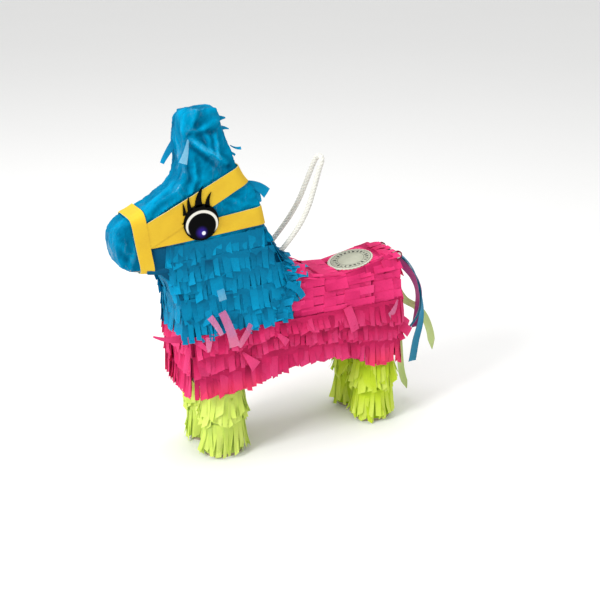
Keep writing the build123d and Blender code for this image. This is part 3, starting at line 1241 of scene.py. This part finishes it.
def eyeFinish(settings):
    f = Finish("eyeInk", Roughness=0.35, Specular_IOR_Level=0.06)
    x, _, z = f.parts(f.place())

    def inside(cx, cz, rx, rz, soft=0.00025):
        # 1 inside the oval
        dx = (x - cx * mm) / (rx * mm)
        dz = (z - cz * mm) / (rz * mm)
        away = (dx * dx + dz * dz).root()
        return 1 - away.step(1 - soft / (rx * mm), 1 + soft / (rx * mm))

    ink = hexColour("020202")
    white = inside(*settings["white"]) * z.step(0.1440, 0.1475)
    pupil = inside(*settings["pupil"])
    gx, gz, gr = settings["glow"]
    glow = inside(gx, gz, gr * 0.75, gr * 0.75, gr * 0.55 * mm)
    hx, hz, hr = settings["glint"]
    glint = inside(hx, hz, hr, hr, 0.0003)
    colour = f.blend(white, ink, hexColour("E9E6DA"))
    colour = f.blend(pupil, colour, ink)
    colour = f.blend(glow * 0.95, colour, hexColour("33208A"))
    colour = f.blend(glint, colour, hexColour("F4F2FF"))
    f.drive("Base Color", colour)
    speck = f.grain(f.place(), 900.0, 2.0)
    f.bump(speck, 0.00004, 0.5)
    f.drive("Roughness", 0.3 + speck * 0.15)
    return f.material


eyeInk = eyeFinish(eyePrint)


def lashOutline(base, bend, tip, width, steps=7):
    b, c, t = Vector(base), Vector(bend), Vector(tip)
    left, right = [], []
    for i in range(steps):
        s = i / steps
        spot = b * (1 - s) ** 2 + c * 2 * s * (1 - s) + t * s * s
        ahead = (c - b) * (1 - s) + (t - c) * s
        across = Vector((-ahead.y, ahead.x)).normalized() * width / 2 * (1 - s) ** 0.8
        left.append(spot + across)
        right.append(spot - across)
    return left + [t] + right[::-1]


def makeEye(name, sideSign, node, settings):
    shape = bmesh.new()
    cx, cz, rx, rz = settings["lid"]
    graph = bpy.context.evaluated_depsgraph_get()
    covers = [BVHTree.FromObject(cover, graph) for cover in (*strapPieces[1:], head)]
    inward = Vector((0, -sideSign, 0))
    heights = []
    for dx in (-8, -4, 0, 4, 8):
        for dz in (-8, -4, 0, 4, 8):
            start = Vector(((cx + dx) * mm, sideSign * 0.05, (cz + dz) * mm))
            hits = [cover.ray_cast(start, inward)[0] for cover in covers]
            heights += [abs(hit.y) for hit in hits if hit]
    base = max(heights) + 0.08 * mm  # the eye lies on the highest paper below it

    def slab(outline):
        # a thin die-cut layer with an eased front edge
        thick = settings["thickness"] * mm
        rings = []
        centre = sum((Vector(p) for p in outline), Vector((0, 0))) / len(outline)
        for depth, shrink in ((0, 1.0), (thick * 0.75, 1.0), (thick, 0.985)):
            ring = []
            for p in outline:
                q = centre + (Vector(p) - centre) * shrink
                ring.append(shape.verts.new((q.x * mm, sideSign * (base + depth), q.y * mm)))
            rings.append(ring)
        count = len(outline)
        for one, two in zip(rings, rings[1:]):
            for i in range(count):
                shape.faces.new((one[i], one[(i + 1) % count], two[(i + 1) % count], two[i]))
        shape.faces.new(rings[0][::-1])
        shape.faces.new(rings[-1])

    angles = [a * math.pi / 32 for a in range(64)]
    slab([(cx + rx * math.cos(a), cz + rz * math.sin(a)) for a in angles])
    for lash in settings["lashes"]:
        slab(lashOutline(*lash))
    bmesh.ops.recalc_face_normals(shape, faces=shape.faces)
    bmesh.ops.triangulate(shape, faces=[f for f in shape.faces if len(f.verts) > 4])
    mesh = written(shape, bpy.data.meshes.new(name))
    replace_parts(newPiece(name, mesh, "shell", "eye_card", eyeInk), node)


makeEye("eyeLeft", -1, "eye_left", eyePrint)
makeEye("eyeRight", 1, "eye_right", eyePrint)
print("eyes made")

label = {
    "centre": (48.43, 0, 110.0),
    "slope": 12.56,  # degrees, as the back below it
    "radius": 14.6,
    "scallops": 36,
    "depth": 0.55,
    "thickness": 0.55,
}


def labelFinish(settings):
    f = Finish("labelPaper", Roughness=0.5, Specular_IOR_Level=0.4)
    place = f.place()
    x, y, _ = f.parts(place)
    slope = math.cos(math.radians(settings["slope"]))
    u = (x - settings["centre"][0] * mm) / slope
    away = (u * u + y * y).root() * 1000
    angle = y.sum("ARCTAN2", y, u)

    def ring(radius, near, far):
        return 1 - (away - radius).size().step(near, far)

    ink = (ring(13.0, 0.12, 0.3) * 0.75).most(ring(8.6, 0.1, 0.28) * 0.7)
    beads = (angle * 34.0).sin().step(0.1, 0.6) * ring(12.0, 0.25, 0.45)
    ticks = (angle * 23.0).sin().step(-0.5, 0.1) * ring(10.4, 0.9, 1.15)
    breakup = f.grain(place, 420.0, 3.0).step(0.36, 0.5)
    ink = ink.most(beads * 0.6).most(ticks * breakup)
    cloud = f.grain(place, 160.0, 3.0)
    paper = f.blend(cloud, hexColour("BDBFAC"), hexColour("9C9F8B"))
    paper = f.blend(away.step(13.2, 13.7) * 0.5, paper, hexColour("DCDDCE"))
    f.drive("Base Color", f.blend(ink, paper, hexColour("1E201C")))
    f.bump(cloud - ink * 0.4, 0.00012, 0.5)
    f.drive("Roughness", 0.4 + cloud * 0.2)
    return f.material


labelPaper = labelFinish(label)


def makeLabel(settings):
    low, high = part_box("label")
    turn = Matrix.Rotation(math.radians(-settings["slope"]), 4, "Y")
    centre = (low + high) / 2
    shape = bmesh.new()
    steps = settings["scallops"] * 6
    rings = []
    for depth, shrink in ((-0.5, 1.0), (0.35, 1.0), (0.5, 0.988), (0.5, 0.9)):
        ring = []
        for i in range(steps):
            a = 2 * math.pi * i / steps
            wave = abs(math.sin(a * settings["scallops"] / 2)) - 0.5
            r = (settings["radius"] + settings["depth"] * wave) * shrink
            spot = Vector((r * math.cos(a), r * math.sin(a), depth * settings["thickness"])) * mm
            ring.append(shape.verts.new(centre + turn @ spot))
        rings.append(ring)
    for one, two in zip(rings, rings[1:]):
        for i in range(steps):
            shape.faces.new((one[i], one[(i + 1) % steps], two[(i + 1) % steps], two[i]))
    for ring, depth in ((rings[0], -0.5), (rings[-1], 0.5)):
        hub = shape.verts.new(centre + turn @ Vector((0, 0, depth * settings["thickness"] * mm)))
        for i in range(steps):
            shape.faces.new((ring[i], ring[(i + 1) % steps], hub))
    bmesh.ops.recalc_face_normals(shape, faces=shape.faces)
    mesh = written(shape, bpy.data.meshes.new("labelDisc"))
    creased(mesh, 35)
    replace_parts(newPiece("labelDisc", mesh, "flap", "label_paper", labelPaper), "label")


makeLabel(label)


flapRows = {
    "rows": ((36.6, 11.5), (46.5, 11.5), (55.5, 7.2)),  # where a strip starts, its finger length
    "layers": (0.05, 0.25),
    "habit": {"Seed": 503, "Pitch": 4.0, "Tip Lift": 0.15, "Curl": 0.0, "Twist": 0.02, "Sway": 0.0,
              "Jag": 0.2, "Band": 0.6, "Length Spread": 0.05, "Ripple": 0.0, "Width Spread": 0.1},
}


def makeFlapTissue(settings):
    nodes = ["flap_tissue"]
    skin = surfaceOf(nodes)
    guides = []
    for x, reach in settings["rows"]:
        places = inMetres([(x, -10.2 + 2.04 * i, 108) for i in range(11)])
        stations = [(place, Vector((0, 0, 1))) for place in places]
        for rise in settings["layers"]:
            guides += guideAlong(skin, stations, backwards * 0.006, reach, rise, backwards, False)
    makeFringe("flapFringe", guides, saddleTissue, "pink_tissue", "flap", nodes, nodes,
               **settings["habit"])


makeFlapTissue(flapRows)
print("label and flap made")

ribbons = {
    "tail_blue_long": {
        "name": "ribbonBlueLong", "paper": "blue", "width": 5.0, "lane": -6.0, "tip": "square",
        "path": [(75.5, 112.2), (86.5, 104), (95.2, 90.5), (99.4, 74), (99.8, 57.5), (96.6, 43.5),
                 (94.4, 30)],
        "twist": [-78, -72, -62, -40, -5, 10, 14]},
    "tail_blue_short": {
        "name": "ribbonBlueShort", "paper": "blue", "width": 3.0, "lane": -7.5, "tip": "square",
        "path": [(78.9, 109.4), (89, 100), (96, 86), (98.4, 73), (95.2, 62.5), (87.6, 53)],
        "twist": [-60, -70, -80, -84, -80, -70]},
    "tail_pink": {
        "name": "ribbonPink", "paper": "pink", "width": 4.8, "lane": -0.3, "tip": "square",
        "path": [(78.5, 109.4), (87, 99.6), (96.5, 88.5), (101.6, 74), (99.5, 52)],
        "twist": [-10, 0, 0, 10, 25]},
    "tail_lime_short": {
        "name": "ribbonLimeShort", "paper": "lime", "width": 4.4, "lane": 0.8, "tip": "point",
        "path": [(78.6, 107.9), (83.5, 88), (86.5, 65), (88.0, 42), (90.6, 21), (95.4, 6.5)],
        "twist": [-30, -10, 10, 10, 20, 30]},
    "tail_lime_long": {
        "name": "ribbonLimeLong", "paper": "lime", "width": 5.0, "lane": 5.2, "tip": "point",
        "path": [(79.2, 109.6), (84, 88), (92.5, 72.5), (103, 64.5), (110.5, 55.5), (115.6, 43.5),
                 (118.2, 29.5)],
        "twist": [-30, 0, 20, 20, 20, 25, 10]},
}
ribbonThickness = 0.2


def smoothValue(values, t):
    # a value from a short list, eased between its entries
    spot = t * (len(values) - 1)
    i = min(int(spot), len(values) - 2)
    u = spot - i
    before = values[max(i - 1, 0)]
    a, b = values[i], values[i + 1]
    after = values[min(i + 2, len(values) - 1)]
    return 0.5 * (2 * a + (b - before) * u + (2 * before - 5 * a + 4 * b - after) * u * u
                  + (3 * a - before - 3 * b + after) * u ** 3)


def makeRibbon(node, settings):
    steps = 60
    centre = []
    for i in range(steps + 1):
        t = i / steps
        x = smoothValue([p[0] for p in settings["path"]], t)
        z = smoothValue([p[1] for p in settings["path"]], t)
        centre.append(Vector((x, settings["lane"] * min(1, 0.15 + t * 3), z)) * mm)
    random.seed(node)
    phase = random.uniform(0, 6)
    vertices, faces, alongs, acrosses = [], [], [], []
    columns = 5
    gone = 0
    for i, spot in enumerate(centre):
        t = i / steps
        tangent = (centre[min(i + 1, steps)] - centre[max(i - 1, 0)]).normalized()
        gone += (spot - centre[i - 1]).length if i else 0
        flat = Vector((0, 1, 0)).cross(tangent).normalized()
        turn = Matrix.Rotation(math.radians(smoothValue(settings["twist"], t)), 3, tangent)
        across = turn @ flat
        normal = across.cross(tangent)
        for j in range(columns):
            u = j / (columns - 1) - 0.5
            width = settings["width"] * min(1, 0.35 + t * 8) * mm
            shift = 0
            if settings["tip"] == "point" and t > 0.9:
                width *= max(0.04, (1 - t) / 0.1)
            elif settings["tip"] == "square" and i == steps:
                shift = u * 1.6 * mm
            cup = normal * (0.35 * mm * (u * u * 4 - 0.5) + 0.25 * mm * math.sin(t * 17 + phase))
            vertices.append(spot + across * u * width + cup + tangent * shift)
            alongs.append(gone * 10)
            acrosses.append(u)
        if i:
            base = (i - 1) * columns
            for j in range(columns - 1):
                faces.append((base + j, base + j + 1, base + columns + j + 1, base + columns + j))
    mesh = meshFrom(settings["name"], vertices, faces)
    keepValues(mesh, along=alongs, across=acrosses)
    holder = held(settings["name"], mesh)
    addWall(holder, ribbonThickness)
    made = settled(holder)
    creased(made, 50)
    paper = settings["paper"]
    piece = newPiece(settings["name"], made, "tail", paper + "_ribbon", ribbonFinishes[paper])
    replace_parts(piece, node)


for node, settings in ribbons.items():
    makeRibbon(node, settings)
print("ribbons made")

looseStrips = {  # root, end, bow, width at both ends, where the face looks, sometimes a tint
    "blue": [
        ((-64.6, 6, 196.5), (-74, 6, 183.5), (-1, 0, -0.6), (4.6, 2.4), (-0.4, -0.9, 0.2)),
        ((-29, -8.5, 169.5), (-14.6, -9, 162), (0.5, -0.5, 1.6), (3.5, 7), (0.1, -1, 0.35)),
        ((-24, -8.8, 166), (-19.4, -9.4, 157.4), (0.8, -0.4, 0.6), (4.5, 2.2), (0.1, -1, 0.25)),
        ((-46, -8, 209), (-40, -8.5, 209.4), (0, 0, 0.3), (4.6, 0.8), (0.1, -1, 0.2)),
        ((-44, -8, 203.6), (-38, -8.6, 202.8), (0, 0, 0.5), (3.4, 0.5), (0.1, -1, 0.2)),
        ((-37, -7.5, 193), (-30.4, -8, 190.8), (0, 0, -0.7), (0.5, 1.9), (0.1, -1, 0.4)),
        ((-38, -7.5, 189.6), (-34.2, -8, 187), (0, 0, 0.2), (1, 1.6), (0.1, -1, 0.4)),
        ((1, -13, 111), (13.5, -6, 111.5), (0, -0.6, 1.6), (4, 3.6), (0, -0.5, 1)),
        ((-3, -16, 109), (9.4, -15.8, 109.4), (0, -1, 1.4), (4.2, 3.8), (0, -1, 0.8)),
        ((-7, -19.5, 107), (3.6, -20.5, 96.6), (1, -1.4, 1.2), (4.4, 4.6), (0, -1, 0.4)),
    ],
    "pink": [
        ((32.5, -24.6, 86.5), (37.6, -26.4, 70.4), (0, -1.1, 0), (6, 6.4), (0, -1, 0.35), 1.5),
        ((-70, -22.6, 84), (-61.5, -26.2, 75.2), (-0.4, -1, 0.8), (4.4, 2), (-0.1, -1, 0.5), 1.3),
        ((-72, -21.6, 79), (-76.5, -24.4, 64), (-0.6, -0.8, 0), (3.6, 2.4), (-0.3, -1, 0.1), 1.3),
        ((-76, -19, 84), (-93.5, -20, 89), (0, -0.5, -1.2), (5, 1), (-0.2, -1, 0.3), 1.2),
        ((-39.6, -25.2, 70.5), (-31.6, -27.4, 60.2), (0, -1, 0), (1.2, 8), (-0.1, -1, 0.4), 1.4),
        ((-18.4, -24.8, 79.5), (-10.4, -27, 71.4), (0, -0.8, 0.6), (1.6, 5.4), (0.1, -1, 0.5), 1.4),
        ((69, -22.5, 68), (79.5, -24.5, 60.5), (0, -0.5, 1.2), (6, 7), (0.2, -1, 0.3)),
        ((70, -21, 72), (80, -22, 66), (0, -0.3, 1.5), (4, 4.5), (0.1, -0.8, 0.6)),
        ((65, -6, 111.8), (75.5, -7, 110.2), (0, 0, 1.2), (5.5, 5), (0, -0.3, 1)),
        ((65, 0, 112.2), (76.5, 0.5, 111.4), (0, 0, 1.4), (5.5, 5.5), (0, 0.05, 1)),
        ((65, 6, 111.8), (75.5, 7, 110.2), (0, 0, 1.1), (5.5, 5), (0, 0.3, 1)),
        ((71.5, -7, 110.6), (75.5, -8, 101.5), (1, 0, 0.4), (6, 5), (1, -0.2, 0.3)),
        ((71.5, 7, 110.6), (75.5, 8, 101), (1, 0, 0.4), (6, 5), (1, 0.2, 0.3)),
    ],
    "lime": [
        ((50, -4, 30), (41, -9, 26), (0, 0, 3), (1.6, 0.7), (0, -1, 0.4)),
        ((50, -4, 36), (39, -8, 33), (0, 0, 3.2), (1.4, 0.6), (0, -1, 0.4)),
    ],
    "pinkSheer": [
        ((69.6, -24.3, 85), (61.4, -25.6, 73), (0.6, -0.8, 0), (1.2, 5.6), (0.1, -1, 0.2)),
        ((-51.5, -23.4, 98), (-45.4, -27.2, 76), (0.5, -1.5, 0), (4.6, 6.4), (-0.1, -1, 0.2)),
        ((-59, -23, 96), (-53, -26, 84.5), (0.3, -0.8, 0), (4, 2.6), (-0.3, -1, 0.2)),
        ((-33, -24.6, 87), (-42.8, -27.2, 75.6), (0, -0.6, 0), (4.6, 3.8), (0.1, -1, 0.1)),
        ((-60.6, -24.6, 84), (-62.4, -26.4, 75.6), (0, -0.6, 0), (4.4, 2.6), (-0.2, -1, 0.1)),
    ],
    "blueSheer": [
        ((-64.6, -12.4, 200), (-68.6, -13.4, 187), (0, -0.9, 0), (0.8, 4.8), (-0.2, -1, 0.1), 1.6),
        ((-51, -20.4, 111), (-50, -22, 104.6), (0, -0.5, 0), (4.6, 4.8), (0, -1, 0.3)),
    ],
}


def stripMesh(root, end, bow, widths, face, steps=10):
    root, end, bow = inMetres([root, end, bow])
    face = Vector(face).normalized()
    points, faces, alongs, acrosses = [], [], [], []
    for i in range(steps + 1):
        t = i / steps
        spot = root.lerp(end, t) + bow * 4 * t * (1 - t)
        ahead = ((end - root) + bow * 4 * (1 - 2 * t)).normalized()
        across = ahead.cross(face).normalized()
        width = widths[0] + (widths[1] - widths[0]) * t
        for j in range(3):
            u = j / 2 - 0.5
            lift = face * (0.25 * mm * (1 - 4 * u * u))
            points.append(spot + across * u * width * mm + lift)
            alongs.append(t)
            acrosses.append(u)
        if i:
            b = (i - 1) * 3
            faces += [(b, b + 1, b + 4, b + 3), (b + 1, b + 2, b + 5, b + 4)]
    return points, faces, alongs, acrosses


def makeStrips():
    papers = {"blue": blueTissue, "pink": pinkTissue, "lime": limeTissue, "pinkSheer": pinkSheer,
              "blueSheer": blueSheer}
    for paper, finish in papers.items():
        points, faces, alongs, acrosses, tints = [], [], [], [], []
        for number, strip in enumerate(looseStrips[paper]):
            p, f, a, c = stripMesh(*strip[:5])
            start = len(points)
            points += p
            faces += [tuple(start + i for i in face) for face in f]
            alongs += a
            acrosses += c
            tint = strip[5] if len(strip) > 5 else 0.6 + 0.4 * ((number * 0.37) % 1)
            tints += [tint] * len(p)
        mesh = meshFrom("loose", points, faces)
        keepValues(mesh, along=alongs, across=acrosses, tint=tints)
        holder = held("loose", mesh)
        addWall(holder, tissueThickness)
        made = settled(holder)
        creased(made, 50)
        newPiece("looseStrips" + paper[0].upper() + paper[1:], made, "shell",
                 paper.removesuffix("Sheer") + "_tissue", finish)


makeStrips()
print("loose strips made")

card = ["side_panel_left", "side_panel_right", "belly_panel", "rump_strip", "back_strip",
        "nape_strip", "ear_strip", "forehead_strip", "muzzle_strip", "jaw_strip", "chest_strip",
        "fill_flap"]
card += [f"{part}_{leg}" for part in ("leg", "sole") for leg in legRows["places"]]
keptFinishes = {name: greyCard for name in card}
keptFinishes |= {"tail_tab": pinkTissue, "tail_tie": whiteYarn, "loop_knot_left": whiteYarn,
                 "loop_knot_right": whiteYarn}
for name, material in keptFinishes.items():
    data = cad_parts[name].data
    data.materials.clear()
    data.materials.append(material)

stage = {
    "floorHalf": 8,
    "keyLight": ((-1.0, -0.3, 0.75), 0.35, 9.5),  # place, size, watts
    "topLight": ((0.0, 0.1, 1.1), 0.6, 3.5),
    "aim": (0, 0, 0.1),
    "sky": 0.76,
}


def makeFloor(half):
    f = Finish("floorPaper", Roughness=0.7, Specular_IOR_Level=0.2)
    cloud = f.grain(f.place(), 3.0, 2.0)
    f.drive("Base Color", f.blend(cloud * 0.3, hexColour("FBFBFA"), hexColour("F4F4F3")))
    corners = [Vector((x * half, y * half, 0)) for x, y in ((-1, -1), (1, -1), (1, 1), (-1, 1))]
    floor = meshFrom("floor", corners, [(0, 1, 2, 3)], False)
    floor.materials.append(f.material)
    held("floor", floor)


def makeLight(name, place, size, power):
    data = bpy.data.lights.new(name, "AREA")
    data.shape = "SQUARE"
    data.size = size
    data.energy = power
    lamp = held(name, data)
    lamp.location = place
    aim = Vector(stage["aim"]) - Vector(place)
    lamp.rotation_euler = aim.to_track_quat("-Z", "Y").to_euler()


makeFloor(stage["floorHalf"])
for name in ("keyLight", "topLight"):
    makeLight(name, *stage[name])
world = bpy.data.worlds.new("studio")
world.use_nodes = True
sky = world.node_tree.nodes["Background"]
sky.inputs[0].default_value = (1, 1, 1, 1)
sky.inputs[1].default_value = stage["sky"]
scene.world = world
scene.view_settings.view_transform = "Standard"
print("stage made")
